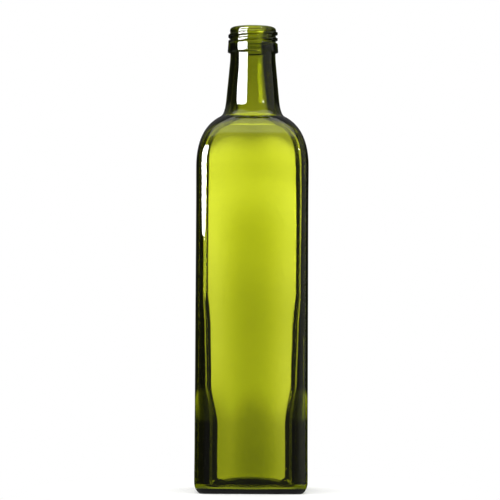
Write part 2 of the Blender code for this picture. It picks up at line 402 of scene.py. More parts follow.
@dataclass(frozen=True)
class Neck:
    """The shoulder, the hollow curve above it and the cone of the neck.

    Attributes:
        body: the body under it.
        shoulder_rise: how high the whole of the shoulder's curve would rise.
        shoulder_inset: how far it would come in on the way.
        shoulder_power: 2 for a quarter of an ellipse, more for a fuller curve.
        shoulder_end: the height where the hollow curve takes over.
        start: the height where the cone starts.
        foot_radius: the cone's radius there.
        roundness_power: how late the plan turns from a square to a circle.
        top: the height of the cone's top, where the collar starts.
        top_radius: the cone's radius there.
        wall: the wall's thickness there and above.
        walls: rows of a height and the wall's thickness at it, lowest first.
        shoulder_rows: the rings on the shoulder.
        fillet_rows: the steps on the hollow curve.
        cone_rows: the steps on the cone.
        slope_step: the height over which the shoulder's slope at its end is taken.
    """

    body: Body
    shoulder_rise: float = 35.1
    shoulder_inset: float = 25.0
    shoulder_power: float = 2.2
    shoulder_end: float = 227.4
    start: float = 238.0
    foot_radius: float = 16.22
    roundness_power: float = 3.4
    top: float = 262.3
    top_radius: float = 13.95
    wall: float = 3.05
    walls: tuple[tuple[float, float], ...] = ((218.0, 1.7), (236.0, 2.6))
    shoulder_rows: int = 44
    fillet_rows: int = 16
    cone_rows: int = 14
    slope_step: float = 0.01

    def shoulder_half(self, height: float) -> float:
        """Half the outer width at a height of the shoulder.

        Args:
            height: the height.

        Returns:
            The distance from the axis to the middle of a side.
        """
        rise = (height - self.body.top) / self.shoulder_rise
        fall = 1 - (1 - rise**self.shoulder_power) ** (1 / self.shoulder_power)
        return self.body.width / 2 - self.body.taper - self.shoulder_inset * fall

    def roundness(self, height: float) -> float:
        """0 where the plan is the body's square, 1 where it is the neck's circle."""
        share = smooth_step((height - self.body.top) / (self.start - self.body.top))
        return float(share) ** self.roundness_power

    def wall_at(self, height: float) -> float:
        """How thick the wall is at a height.

        Args:
            height: the height.

        Returns:
            The thickness, square to the outside.
        """
        foot = (self.body.top, self.body.edge_wall)
        stages = (foot, *self.walls, (self.top, self.wall))
        for below, above in zip(stages, stages[1:]):
            if height <= above[0]:
                share = smooth_step((height - below[0]) / (above[0] - below[0]))
                return mix(below[1], above[1], float(share))
        return self.wall

    def profile(self) -> Outline:
        """The outline from the body to the collar.

        Returns:
            Rows of a half width and its height, lowest first.
        """
        last = math.asin((self.shoulder_end - self.body.top) / self.shoulder_rise)
        heights = self.body.top + self.shoulder_rise * np.sin(
            np.linspace(0.0, last, self.shoulder_rows)
        )
        line = [(self.shoulder_half(height), float(height)) for height in heights]
        foot = line[-1]
        before_foot = self.shoulder_half(self.shoulder_end - self.slope_step)
        lean = (foot[0] - before_foot) / self.slope_step
        cone = (self.top_radius - self.foot_radius) / (self.top - self.start)
        meet = self.foot_radius - foot[0] + lean * foot[1] - cone * self.start
        meet /= lean - cone
        control = (foot[0] + lean * (meet - foot[1]), meet)
        for share in np.linspace(0.0, 1.0, self.fillet_rows)[1:]:
            weights = ((1 - share) ** 2, 2 * share * (1 - share), share**2)
            corners = (foot, control, (self.foot_radius, self.start))
            across = sum(weight * corner[0] for weight, corner in zip(weights, corners))
            height = sum(weight * corner[1] for weight, corner in zip(weights, corners))
            line.append((across, height))
        for share in np.linspace(0.0, 1.0, self.cone_rows)[1:]:
            radius = mix(self.foot_radius, self.top_radius, share)
            line.append((radius, mix(self.start, self.top, share)))
        return line

    def outer(self) -> list[Ring]:
        """The outside of the shoulder and the neck.

        Returns:
            Its rings, lowest first.
        """
        rings = []
        for half, height in self.profile():
            share = self.roundness(height)
            corner = mix(self.body.corner, half, share)
            rings.append(Ring(half, height, corner, share, Skin.OUTER))
        return rings

    def inner(self) -> list[Ring]:
        """The inside of the shoulder and the neck: the outline moved in by the wall.

        Returns:
            Its rings, highest first.
        """
        line = self.profile()
        rings = []
        for index, (half, height) in enumerate(line):
            before = line[max(index - 1, 0)]
            after = line[min(index + 1, len(line) - 1)]
            length = math.dist(before, after)
            share = self.roundness(height)
            wall = self.wall_at(height)
            inner_half = half - wall * (after[1] - before[1]) / length
            inner_height = height - wall * (before[0] - after[0]) / length
            corner, bow = self.body.cavity_at(inner_height)
            corner = mix(corner, inner_half, share)
            bow *= 1 - share
            rings.append(Ring(inner_half, inner_height, corner, share, Skin.INNER, bow))
        return rings[::-1]


@dataclass(frozen=True)
class Thread:
    """The one right-hand ridge round the finish, which fades out at both ends.

    Attributes:
        pitch: how far it climbs in one turn.
        level: the height of its middle at +X.
        start: where it starts, in degrees anticlockwise from +X.
        end: where it ends, in degrees counted on over its turns.
        fade: over how many degrees it fades out at either end.
        crest: the radius of its crest.
        half_width: half its width at the wall.
        crest_half_width: half its width at its crest.
    """

    pitch: float = 3.55
    level: float = 275.4
    start: float = -215.0
    end: float = 415.0
    fade: float = 28.0
    crest: float = 15.15
    half_width: float = 1.3
    crest_half_width: float = 0.55

    def height_above(self, root: float, degrees: np.ndarray, height: float) -> np.ndarray:
        """How far the thread stands out of a round wall.

        Args:
            root: the wall's radius.
            degrees: directions from the axis.
            height: a height on the finish.

        Returns:
            The ridge's height over the wall in each direction.
        """
        out = np.zeros_like(degrees)
        for turn in (-1, 0, 1):
            turned = degrees + 360 * turn
            inside = np.minimum(turned - self.start, self.end - turned) / self.fade
            off = np.abs(height - self.level - self.pitch * turned / 360)
            flank = (self.half_width - off) / (self.half_width - self.crest_half_width)
            ridge = (self.crest - root) * smooth_step(flank) * smooth_step(inside)
            out = np.maximum(out, ridge)
        return out


@dataclass(frozen=True)
class Finish:
    """The collar, the bead, the threaded wall, the lip and the bore under it.

    Attributes:
        neck: the neck under it.
        thread: its thread.
        undercut_radius: the radius of the collar.
        undercut_depth: how far below the bead the collar starts to be straight.
        bead_bottom: the height of the bead's lower side.
        bead_top: the height of its upper side.
        bead_lower_radius: its radius low down.
        bead_upper_radius: its radius high up.
        bead_rounding: how far its edges are cut back.
        corner_cuts: how many times the corners of its outline are cut.
        cut_shares: where a cut meets each straight stretch between two corners.
        wall_radius: the radius of the wall that carries the thread.
        lip_start: the height where that wall ends.
        lip_radius: the radius of the lip.
        top: the height of the lip's top.
        lip_rounding: the radius of the lip's outer edge.
        bore_rounding: the radius of its inner edge.
        bore_rise: how far above the neck the bore's lowest ring lies.
        slope: the height over which the bead's top slopes, the lip's foot over half of it.
        thread_rows: the steps up the threaded wall.
        lip_points: the rings on the lip's outer edge.
        mouth_points: the rings on its inner edge.
        bore_rows: the rings in the bore.
    """

    neck: Neck
    thread: Thread = Thread()
    undercut_radius: float = 13.82
    undercut_depth: float = 1.9
    bead_bottom: float = 267.3
    bead_top: float = 272.8
    bead_lower_radius: float = 15.5
    bead_upper_radius: float = 15.2
    bead_rounding: float = 0.45
    corner_cuts: int = 2
    cut_shares: tuple[float, float] = (0.25, 0.75)
    wall_radius: float = 14.0
    lip_start: float = 280.1
    lip_radius: float = 14.15
    top: float = 282.6
    lip_rounding: float = 1.9
    bore_rounding: float = 0.7
    bore_rise: float = 1.0
    slope: float = 0.5
    thread_rows: int = 64
    lip_points: int = 9
    mouth_points: int = 6
    bore_rows: int = 10

    @property
    def bore(self) -> float:
        """The radius of the straight bore."""
        return self.neck.top_radius - self.neck.wall

    def bead(self) -> Outline:
        """The outline of the collar and the bead, with its corners cut round.

        Returns:
            Rows of a radius and its height, lowest first.
        """
        soft = self.bead_rounding
        line = [
            (self.neck.top_radius, self.neck.top),
            (self.undercut_radius, self.bead_bottom - self.undercut_depth),
            (self.undercut_radius, self.bead_bottom - 2 * soft),
            (self.undercut_radius + soft, self.bead_bottom),
            (self.bead_lower_radius, self.bead_bottom),
            (self.bead_lower_radius, self.bead_bottom + soft),
            (self.bead_upper_radius, self.bead_top - soft),
            (self.bead_upper_radius - soft / 2, self.bead_top),
            (self.wall_radius, self.bead_top + self.slope),
        ]
        for _ in range(self.corner_cuts):
            cut = [line[0]]
            for first, last in zip(line, line[1:]):
                for share in self.cut_shares:
                    cut.append((mix(first[0], last[0], share), mix(first[1], last[1], share)))
            line = cut + [line[-1]]
        return line[1:]

    def outer(self) -> list[Ring]:
        """The outside of the finish, over the lip and into the bore.

        Returns:
            Its rings, from the collar up to the lip's top and down again.
        """
        line = self.bead()
        rows = np.linspace(line[-1][1], self.lip_start, self.thread_rows)[1:]
        line += [(self.wall_radius, float(height)) for height in rows]
        line.append((self.lip_radius, self.lip_start + self.slope / 2))
        for angle in np.linspace(0.0, QUARTER, self.lip_points):
            inset = self.lip_rounding * (1 - math.cos(angle))
            drop = self.lip_rounding * (1 - math.sin(angle))
            line.append((self.lip_radius - inset, self.top - drop))
        for angle in np.linspace(0.0, QUARTER, self.mouth_points):
            flare = self.bore_rounding * (1 - math.sin(angle))
            drop = self.bore_rounding * (1 - math.cos(angle))
            line.append((self.bore + flare, self.top - drop))
        return [Ring(radius, height, radius, 1.0, Skin.OUTER) for radius, height in line]

    def inner(self) -> list[Ring]:
        """The straight bore.

        Returns:
            Its rings, highest first.
        """
        bore = self.bore
        top = self.top - 2 * self.bore_rounding
        heights = np.linspace(top, self.neck.top + self.bore_rise, self.bore_rows)
        return [Ring(bore, float(height), bore, 1.0, Skin.INNER) for height in heights]


@dataclass(frozen=True)
class Waves:
    """A faint unevenness: a few long waves in random directions, the same each run.

    Attributes:
        seed: what the random draws start from.
        shortest: the shortest wave's length in millimetres.
        longest: the longest wave's length in millimetres.
        amplitude: about how far the surface strays, in millimetres.
        count: the number of waves.
        stretch: how much longer the waves are upwards than across.
    """

    seed: int
    shortest: float
    longest: float
    amplitude: float
    count: int = 9
    stretch: float = 1.0

    def at(self, points: Points) -> np.ndarray:
        """The waves on a surface.

        Args:
            points: points of the surface.

        Returns:
            The waves' height at each point, in millimetres.
        """
        draw = np.random.default_rng(self.seed)
        out = np.zeros(len(points))
        for _ in range(self.count):
            direction = draw.normal(size=3) * (1.0, 1.0, 1 / self.stretch)
            direction /= np.linalg.norm(direction)
            length = draw.uniform(self.shortest, self.longest)
            phase = draw.uniform(0.0, 2 * math.pi)
            out += np.sin(points @ direction * 2 * math.pi / length + phase)
        return out * self.amplitude / math.sqrt(self.count)


@dataclass(frozen=True)
class Lump:
    """A place where the blown glass came out thicker, fading out smoothly all round.

    Attributes:
        side: the panel that it is in: 0 is +X's, then anticlockwise.
        across: how far its middle lies from the panel's, along the turn's direction.
        height: the height of its middle.
        width: how far it reaches to either side.
        rise: how far it reaches up and down.
        depth: how much thicker the glass is in its middle.
    """

    side: int
    across: float
    height: float
    width: float
    rise: float
    depth: float

    def at(self, points: Points) -> np.ndarray:
        """How much thicker the glass is here than elsewhere.

        Args:
            points: points of the inside.

        Returns:
            The added thickness at each point.
        """
        x, y = math.cos(QUARTER * self.side), math.sin(QUARTER * self.side)
        facing = points[:, 0] * x + points[:, 1] * y > 0
        beside = (points[:, 1] * x - points[:, 0] * y - self.across) / self.width
        above = (points[:, 2] - self.height) / self.rise
        return self.depth * np.exp(-(beside**2) - above**2) * facing


@dataclass(frozen=True)
class Relief:
    """What the mould and the blowing leave on the wall's surfaces.

    Attributes:
        body: the bottle's body.
        finish: the bottle's finish.
        seam_degrees: the directions of the mould seams.
        seam_height: how far the seams stand out.
        seam_width: how far they reach to either side.
        ring_mark_pitch: the distance between the ribs on the resting ring.
        ring_mark_depth: how deep the grooves between them are.
        calm_rise: the height above the heel over which the outside's waves set in.
        outside: the waves of the outside.
        inside: the waves of the inside.
        lumps: the places where the glass is thicker.
    """

    body: Body
    finish: Finish
    seam_degrees: tuple[float, ...] = (-45.0, 135.0)
    seam_height: float = 0.07
    seam_width: float = 0.35
    ring_mark_pitch: float = 2.4
    ring_mark_depth: float = 0.12
    calm_rise: float = 20.0
    outside: Waves = Waves(seed=5, shortest=26.0, longest=70.0, amplitude=0.018, stretch=2.0)
    inside: Waves = Waves(seed=11, shortest=18.0, longest=60.0, amplitude=0.055, stretch=2.2)
    lumps: tuple[Lump, ...] = (
        Lump(3, 5.0, 22.0, 14.0, 15.0, 0.45),
        Lump(1, -4.0, 24.0, 15.0, 18.0, 0.3),
        Lump(3, -20.0, 26.0, 6.5, 34.0, 0.8),
        Lump(1, 20.0, 26.0, 6.5, 34.0, 0.8),
        Lump(0, 5.0, 30.0, 14.0, 22.0, 0.4),
        Lump(2, -4.0, 26.0, 12.0, 18.0, 0.4),
    )

    def seam(self, points: Points) -> np.ndarray:
        """The fine ridge where the halves of the mould met.

        Args:
            points: points on the outside.

        Returns:
            The ridge's height at each point.
        """
        out = np.zeros(len(points))
        for degrees in self.seam_degrees:
            angle = math.radians(degrees)
            along = points[:, 0] * math.cos(angle) + points[:, 1] * math.sin(angle)
            off = points[:, 0] * math.sin(angle) - points[:, 1] * math.cos(angle)
            near = np.exp(-((off / self.seam_width) ** 2)) * (along > 0)
            out += self.seam_height * near
        inside_box = self.body.width / 2 - np.abs(points[:, :2]).max(axis=1)
        return np.minimum(out, np.maximum(inside_box, 0.0))

    def ring_marks(self, points: Points) -> np.ndarray:
        """The short ribs on the resting ring, as grooves that go up from the floor.

        Args:
            points: points of the resting ring.

        Returns:
            The grooves' depth at each point.
        """
        around = np.arctan2(points[:, 1], points[:, 0]) * self.body.width / 2
        groove = 0.5 - 0.5 * np.cos(2 * math.pi * around / self.ring_mark_pitch)
        return self.ring_mark_depth * groove**2

    def apply(self, ring: Ring, points: Points) -> Points:
        """Moves a ring's points by the relief of its skin.

        Args:
            ring: the ring that the points make.
            points: its points.

        Returns:
            The moved points.
        """
        outwards = points[:, :2] / np.linalg.norm(points[:, :2], axis=1)[:, None]
        moved = points.copy()
        if ring.skin is Skin.UNDER:
            on_ring = 1.0 if ring.height == 0.0 else 0.0
            moved[:, 2] += on_ring * self.ring_marks(points)
            return moved
        if ring.skin is Skin.INNER:
            shift = self.inside.at(points) - sum(lump.at(points) for lump in self.lumps)
        else:
            degrees = np.degrees(np.arctan2(points[:, 1], points[:, 0]))
            calm = smooth_step((ring.height - self.body.bottom) / self.calm_rise)
            shift = np.minimum(self.outside.at(points), 0.0) * calm + self.seam(points)
            if self.finish.bead_top < ring.height < self.finish.lip_start:
                shift += self.finish.thread.height_above(ring.half, degrees, ring.height)
            elif ring.height > self.finish.lip_start:
                shift *= 0.0
        moved[:, :2] += outwards * shift[:, None]
        return moved


@dataclass(frozen=True)
class Seeds:
    """The small bubbles in the glass of the panels.

    Attributes:
        places: rows of side (0 is +X, then anticlockwise), distance across, height and width.
        specks: how many tiny bubbles are scattered over the four panels besides those.
        speck_widths: the narrowest and the widest of them.
        speck_reach: how far from a panel's middle they are scattered.
        speck_heights: the lowest and the highest of them.
        seed: what the random draws start from.
        depth: how deep the bubbles' middles lie in the glass.
        tallness: about half a bubble's height, as a share of its width.
        steps: the steps round a bubble.
    """

    places: tuple[BubblePlace, ...] = (
        (3, -12.0, 152.4, 0.55),
        (3, 1.4, 151.2, 0.45),
        (3, 14.5, 131.0, 0.4),
        (3, -18.0, 96.0, 0.4),
        (3, 6.0, 73.0, 0.35),
        (3, 18.0, 176.0, 0.35),
        (0, 4.0, 120.0, 0.5),
        (0, -15.0, 61.0, 0.4),
        (1, 9.0, 164.0, 0.45),
        (1, -7.0, 88.0, 0.5),
        (2, -3.0, 142.0, 0.4),
        (2, 16.0, 47.0, 0.45),
    )
    specks: int = 110
    speck_widths: tuple[float, float] = (0.16, 0.34)
    speck_reach: float = 26.0
    speck_heights: tuple[float, float] = (14.0, 186.0)
    seed: int = 23
    depth: float = 1.1
    tallness: float = 0.7
    steps: int = 6

    def all_places(self) -> list[BubblePlace]:
        """The placed bubbles and the scattered ones, the same each run.

        Returns:
            Rows like those of places.
        """
        draw = np.random.default_rng(self.seed)
        scattered = []
        for index in range(self.specks):
            across = float(draw.uniform(-self.speck_reach, self.speck_reach))
            height = float(draw.uniform(*self.speck_heights))
            width = float(draw.uniform(*self.speck_widths))
            scattered.append((index % 4, across, height, width))
        return [*self.places, *scattered]

    def mesh(self, body: Body) -> tuple[Points, Faces]:
        """The bubbles as small hollow balls.

        Args:
            body: the body whose panels hold them.

        Returns:
            All their points, and their faces, which point into the bubbles.
        """
        points: list[tuple[float, float, float]] = []
        faces: Faces = []
        for side, across, height, width in self.all_places():
            first = len(points)
            out = body.half_at(height) - self.depth
            turn = QUARTER * side
            x, y = math.cos(turn), math.sin(turn)
            middle = (out * x - across * y, out * y + across * x, height)
            for row in range(1, self.steps):
                lift = math.pi * row / self.steps - QUARTER
                for column in range(self.steps):
                    angle = 2 * math.pi * column / self.steps
                    reach = width / 2 * math.cos(lift)
                    points.append(
                        (
                            middle[0] + reach * math.cos(angle),
                            middle[1] + reach * math.sin(angle),
                            middle[2] + width * self.tallness * math.sin(lift),
                        )
                    )
            for row in range(self.steps - 2):
                for column in range(self.steps):
                    here = first + row * self.steps + column
                    there = first + row * self.steps + (column + 1) % self.steps
                    faces.append((here, here + self.steps, there + self.steps, there))
            top = first + (self.steps - 2) * self.steps
            faces.append(tuple(range(first, first + self.steps)))
            faces.append(tuple(reversed(range(top, top + self.steps))))
        return np.array(points), faces


class Value:
    """A number that varies over a surface: a socket on which Python's operators add Math nodes."""

    def __init__(self, graph: "Graph", socket: bpy.types.NodeSocket) -> None:
        """Wraps a socket of a graph."""
        self.graph = graph
        self.socket = socket

    def _math(self, operation: str, first: Any, second: Any) -> "Value":
        """The result of a Math node on two numbers or values."""
        node = self.graph.node("ShaderNodeMath", {"operation": operation}, {0: first, 1: second})
        return Value(self.graph, node.outputs[0])

    def __add__(self, other: Any) -> "Value":
        """This plus another."""
        return self._math("ADD", self, other)

    __radd__ = __add__

    def __sub__(self, other: Any) -> "Value":
        """This less another."""
        return self._math("SUBTRACT", self, other)

    def __rsub__(self, other: Any) -> "Value":
        """Another less this."""
        return self._math("SUBTRACT", other, self)

    def __mul__(self, other: Any) -> "Value":
        """This times another."""
        return self._math("MULTIPLY", self, other)

    __rmul__ = __mul__

    def __truediv__(self, other: Any) -> "Value":
        """This divided by another."""
        return self._math("DIVIDE", self, other)

    def __rtruediv__(self, other: Any) -> "Value":
        """Another divided by this."""
        return self._math("DIVIDE", other, self)

    def __abs__(self) -> "Value":
        """This without its sign."""
        return self._math("ABSOLUTE", self, 0.0)

    def step(self, start: float, end: float) -> "Value":
        """A mask that rises with this.

        Args:
            start: the value up to which the mask is 0.
            end: the value from which it is 1.

        Returns:
            The mask, which is an even S between the two.
        """
        node = self.graph.node(
            "ShaderNodeMapRange",
            {"interpolation_type": "SMOOTHSTEP"},
            {"Value": self, "From Min": start, "From Max": end},
        )
        return Value(self.graph, node.outputs["Result"])


@dataclass(frozen=True)
class Grain:
    """A soft random pattern.

    Attributes:
        scale: about how many humps it has in a metre.
        detail: how many finer layers lie over them.
    """

    scale: float
    detail: float


class Graph:
    """The nodes of one material or world."""

    def __init__(self, owner: bpy.types.Material | bpy.types.World) -> None:
        """Empties the owner's nodes.

        Args:
            owner: the material or the world.
        """
        owner.use_nodes = True
        self.tree = owner.node_tree
        self.tree.nodes.clear()

    def node(
        self,
        kind: str,
        settings: Mapping[str, Any] | None = None,
        sockets: Mapping[str | int, Any] | None = None,
    ) -> bpy.types.Node:
        """Adds a node.

        Args:
            kind: the node's type.
            settings: its own settings, which are set first.
            sockets: a number, a colour, a Value or a socket for each of its inputs.

        Returns:
            The new node.
        """
        node = self.tree.nodes.new(kind)
        for name, setting in (settings or {}).items():
            setattr(node, name, setting)
        for name, given in (sockets or {}).items():
            if isinstance(given, Value):
                given = given.socket
            if isinstance(given, bpy.types.NodeSocket):
                self.tree.links.new(given, node.inputs[name])
            else:
                node.inputs[name].default_value = given
        return node

    def value(self, node: bpy.types.Node, output: str) -> Value:
        """One of a node's outputs as a value."""
        return Value(self, node.outputs[output])

    def position(self) -> tuple[bpy.types.NodeSocket, Value, Value, Value]:
        """The place on the object, in metres.

        Returns:
            The place as a vector, and its x, y and z.
        """
        place = self.node("ShaderNodeTexCoord").outputs["Object"]
        parts = self.node("ShaderNodeSeparateXYZ", None, {0: place})
        return place, *(self.value(parts, axis) for axis in "XYZ")

    def noise(self, place: bpy.types.NodeSocket, grain: Grain) -> Value:
        """A random pattern laid over a surface.

        Args:
            place: the place on the object.
            grain: the pattern.

        Returns:
            Its value from 0 to 1.
        """
        sockets = {"Vector": place, "Scale": grain.scale, "Detail": grain.detail}
        node = self.node("ShaderNodeTexNoise", {"noise_dimensions": "3D"}, sockets)
        return self.value(node, "Fac")

    def glow(self, sockets: Mapping[str, Any]) -> None:
        """Ends a material in light of its own, with the given colour or strength."""
        emission = self.node("ShaderNodeEmission", None, sockets)
        self.node("ShaderNodeOutputMaterial", None, {"Surface": emission.outputs[0]})


@dataclass(frozen=True)
class GreenGlass:
    """Clear bottle glass, yellowish green through and through, with a faintly uneven skin.

    Attributes:
        name: the material's name.
        index: the glass's refractive index.
        density: how strongly the glass darkens what passes through it, for each metre.
        passed: what share of each colour that darkening spares.
        smooth: the roughness of clean glass.
        smudged: what the faintest smudges add to the roughness.
        scuffed: what fine scuffs on the resting ring add to it.
        smudges: the pattern of the smudges.
        smudge_band: the pattern's values between which a smudge sets in.
        clean_tint: the colour of clean glass's skin.
        smudged_tint: the colour of a smudge.
        scuffs: the pattern of the scuffs.
        scuff_band: the pattern's values between which a scuff sets in.
        scuff_heights: the heights between which the scuffs die out.
        ripples: the pattern of the skin's unevenness.
        fine_ripples: a finer pattern on top of it.
        fine_share: how strong the finer pattern is beside the other.
        ripple_height: how high the ripples are.
        ripple_strength: how strongly they show.
    """

    name: str = "green_glass"
    index: float = 1.52
    density: float = 1100.0
    passed: Colour = (0.74, 0.761, 0.036)
    smooth: float = 0.012
    smudged: float = 0.03
    scuffed: float = 0.25
    smudges: Grain = Grain(45.0, 2.0)
    smudge_band: tuple[float, float] = (0.5, 0.75)
    clean_tint: Colour = (1.0, 1.0, 1.0)
    smudged_tint: Colour = (0.985, 0.99, 0.98)
    scuffs: Grain = Grain(900.0, 3.0)
    scuff_band: tuple[float, float] = (0.45, 0.7)
    scuff_heights: tuple[float, float] = (0.0001, 0.0012)
    ripples: Grain = Grain(150.0, 2.0)
    fine_ripples: Grain = Grain(700.0, 1.0)
    fine_share: float = 0.25
    ripple_height: float = 0.00003
    ripple_strength: float = 0.5

    def build(self) -> bpy.types.Material:
        """Makes the material.

        Returns:
            The material.
        """
        material = bpy.data.materials.new(self.name)
        graph = Graph(material)
        place, _, _, height = graph.position()
        cloudy = graph.noise(place, self.smudges).step(*self.smudge_band)
        on_ring = 1 - height.step(*self.scuff_heights)
        worn = graph.noise(place, self.scuffs).step(*self.scuff_band) * on_ring
        roughness = self.smooth + self.smudged * cloudy + self.scuffed * worn
        tone = graph.node(
            "ShaderNodeMix",
            {"data_type": "RGBA"},
            {"Factor": cloudy, "A": (*self.clean_tint, 1.0), "B": (*self.smudged_tint, 1.0)},
        )
        fine = graph.noise(place, self.fine_ripples)
        skin = graph.noise(place, self.ripples) + self.fine_share * fine
        bump = graph.node(
            "ShaderNodeBump",
            None,
            {"Height": skin, "Strength": self.ripple_strength, "Distance": self.ripple_height},
        )
        shader = graph.node(
            "ShaderNodeBsdfPrincipled",
            None,
            {
                "Base Color": tone.outputs["Result"],
                "Roughness": roughness,
                "IOR": self.index,
                "Transmission Weight": 1.0,
                "Normal": bump.outputs["Normal"],
            },
        )
        depth = graph.node(
            "ShaderNodeVolumeAbsorption",
            None,
            {"Color": (*self.passed, 1.0), "Density": self.density},
        )
        graph.node(
            "ShaderNodeOutputMaterial",
            None,
            {"Surface": shader.outputs[0], "Volume": depth.outputs[0]},
        )
        return material


class Bottle:
    """The glass wall, built from its sub-assemblies in one closed mesh."""

    def __init__(self) -> None:
        """Sets up the sub-assemblies in the order in which each needs the last."""
        self.section = Section()
        self.body = Body()
        self.base = Base(self.body)
        self.neck = Neck(self.body)
        self.finish = Finish(self.neck)
        self.relief = Relief(self.body, self.finish)
        self.seeds = Seeds()

    def rings(self) -> list[Ring]:
        """Every ring of the wall.

        Returns:
            The rings from under the base's middle up, over the lip and down inside.
        """
        outside = self.base.under() + self.base.outer() + self.body.outer() + self.neck.outer()
        inside = self.neck.inner() + self.body.inner(self.base.floor_start) + self.base.inner()
        return outside + self.finish.outer() + self.finish.inner() + inside

    def wall(self) -> tuple[Points, Faces]:
        """The closed wall.

        Returns:
            Its points, in millimetres, and its faces, which point out of the glass.
        """
        rows = [self.relief.apply(ring, self.section.points(ring)) for ring in self.rings()]
        count = self.section.count
        under_middle = [0.0, 0.0, self.base.push_up]
        floor_middle = [0.0, 0.0, self.base.push_up + self.base.floor_wall]
        points = np.concatenate(rows + [np.array([under_middle, floor_middle])])
        here = np.arange(count)
        there = (here + 1) % count
        faces: Faces = []
        for row in range(len(rows) - 1):
            low, high = row * count, (row + 1) * count
            faces += list(zip(low + here, low + there, high + there, high + here))
        last = (len(rows) - 1) * count
        faces += [(int(b), int(a), len(points) - 2) for a, b in zip(here, there)]
        faces += [(int(last + a), int(last + b), len(points) - 1) for a, b in zip(here, there)]
        return points, [tuple(int(index) for index in face) for face in faces]

    def build(self, finish: GreenGlass) -> bpy.types.Object:
        """Makes the bottle and puts it in the place of its solid.

        Args:
            finish: the glass.

        Returns:
            The bottle's object.
        """
        points, faces = self.wall()
        seed_points, seed_faces = self.seeds.mesh(self.body)
        faces += [tuple(index + len(points) for index in face) for face in seed_faces]
        mesh = bpy.data.meshes.new("bottle_glass")
        everything = np.concatenate([points, seed_points]) * MM
        mesh.from_pydata(everything.tolist(), [], faces)
        mesh.shade_smooth()
        piece = bpy.data.objects.new("bottle_glass", mesh)
        bpy.context.scene.collection.objects.link(piece)
        piece.data.materials.append(finish.build())
        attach(piece, "root")
        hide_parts("bottle")
        return piece


class Ray(Enum):
    """The kinds of ray that a stage object may show itself to."""

    CAMERA = "visible_camera"
    DIFFUSE = "visible_diffuse"
    GLOSSY = "visible_glossy"
    TRANSMISSION = "visible_transmission"
    SHADOW = "visible_shadow"


def stage_mesh(
    name: str, points: Sequence[Sequence[float]], faces: Sequence[Sequence[int]], shown_to: set[Ray]
) -> bpy.types.Object:
    """Makes an object that isn't part of the bottle.

    Args:
        name: its name.
        points: its points in metres.
        faces: its faces.
        shown_to: the kinds of ray that see it.

    Returns:
        The object.
    """
    mesh = bpy.data.meshes.new(name)
    mesh.from_pydata([tuple(point) for point in points], [], [tuple(face) for face in faces])
    thing = bpy.data.objects.new(name, mesh)
    bpy.context.scene.collection.objects.link(thing)
    for ray in Ray:
        setattr(thing, ray.value, ray in shown_to)
    return thing


def rounded_outline(
    half_width: float, half_height: float, squareness: float, count: int
) -> list[tuple[float, float, float]]:
    """The outline of a flat face between an ellipse and a rectangle.

    Args:
        half_width: half its width, along x.
        half_height: half its height, along y.
        squareness: 2 for an ellipse, more for a fuller outline.
        count: the number of points.

    Returns:
        The points, anticlockwise.
    """
    power = 2 / squareness
    points = []
    for angle in np.linspace(0.0, 2 * math.pi, count, endpoint=False):
        across = math.copysign(abs(math.cos(angle)) ** power, math.cos(angle))
        up = math.copysign(abs(math.sin(angle)) ** power, math.sin(angle))
        points.append((half_width * across, half_height * up, 0.0))
    return points


@dataclass(frozen=True)
class PhotoCamera:
    """The camera, where the photograph was taken from.

    Attributes:
        place: where it stands.
        tilt: how many degrees it looks up.
        roll: how many degrees it is turned anticlockwise.
        focal_pixels: its focal length, in pixels of the photograph.
    """

    place: tuple[float, float, float] = (-0.00121, -1.350, 0.0978)
    tilt: float = 2.057
    roll: float = 0.277
    focal_pixels: float = 2212.5

    def build(self) -> bpy.types.Object:
        """Makes the camera and looks through it.

        Returns:
            The camera.
        """
        data = bpy.data.cameras.new("camera")
        data.sensor_width = SENSOR
        data.lens = self.focal_pixels * SENSOR / PHOTO_SIDE
        camera = bpy.data.objects.new("camera", data)
        tilt = Matrix.Rotation(math.radians(90 + self.tilt), 4, "X")
        roll = Matrix.Rotation(math.radians(self.roll), 4, "Z")
        camera.matrix_world = Matrix.Translation(self.place) @ tilt @ roll
        bpy.context.scene.collection.objects.link(camera)
        bpy.context.scene.camera = camera
        return camera


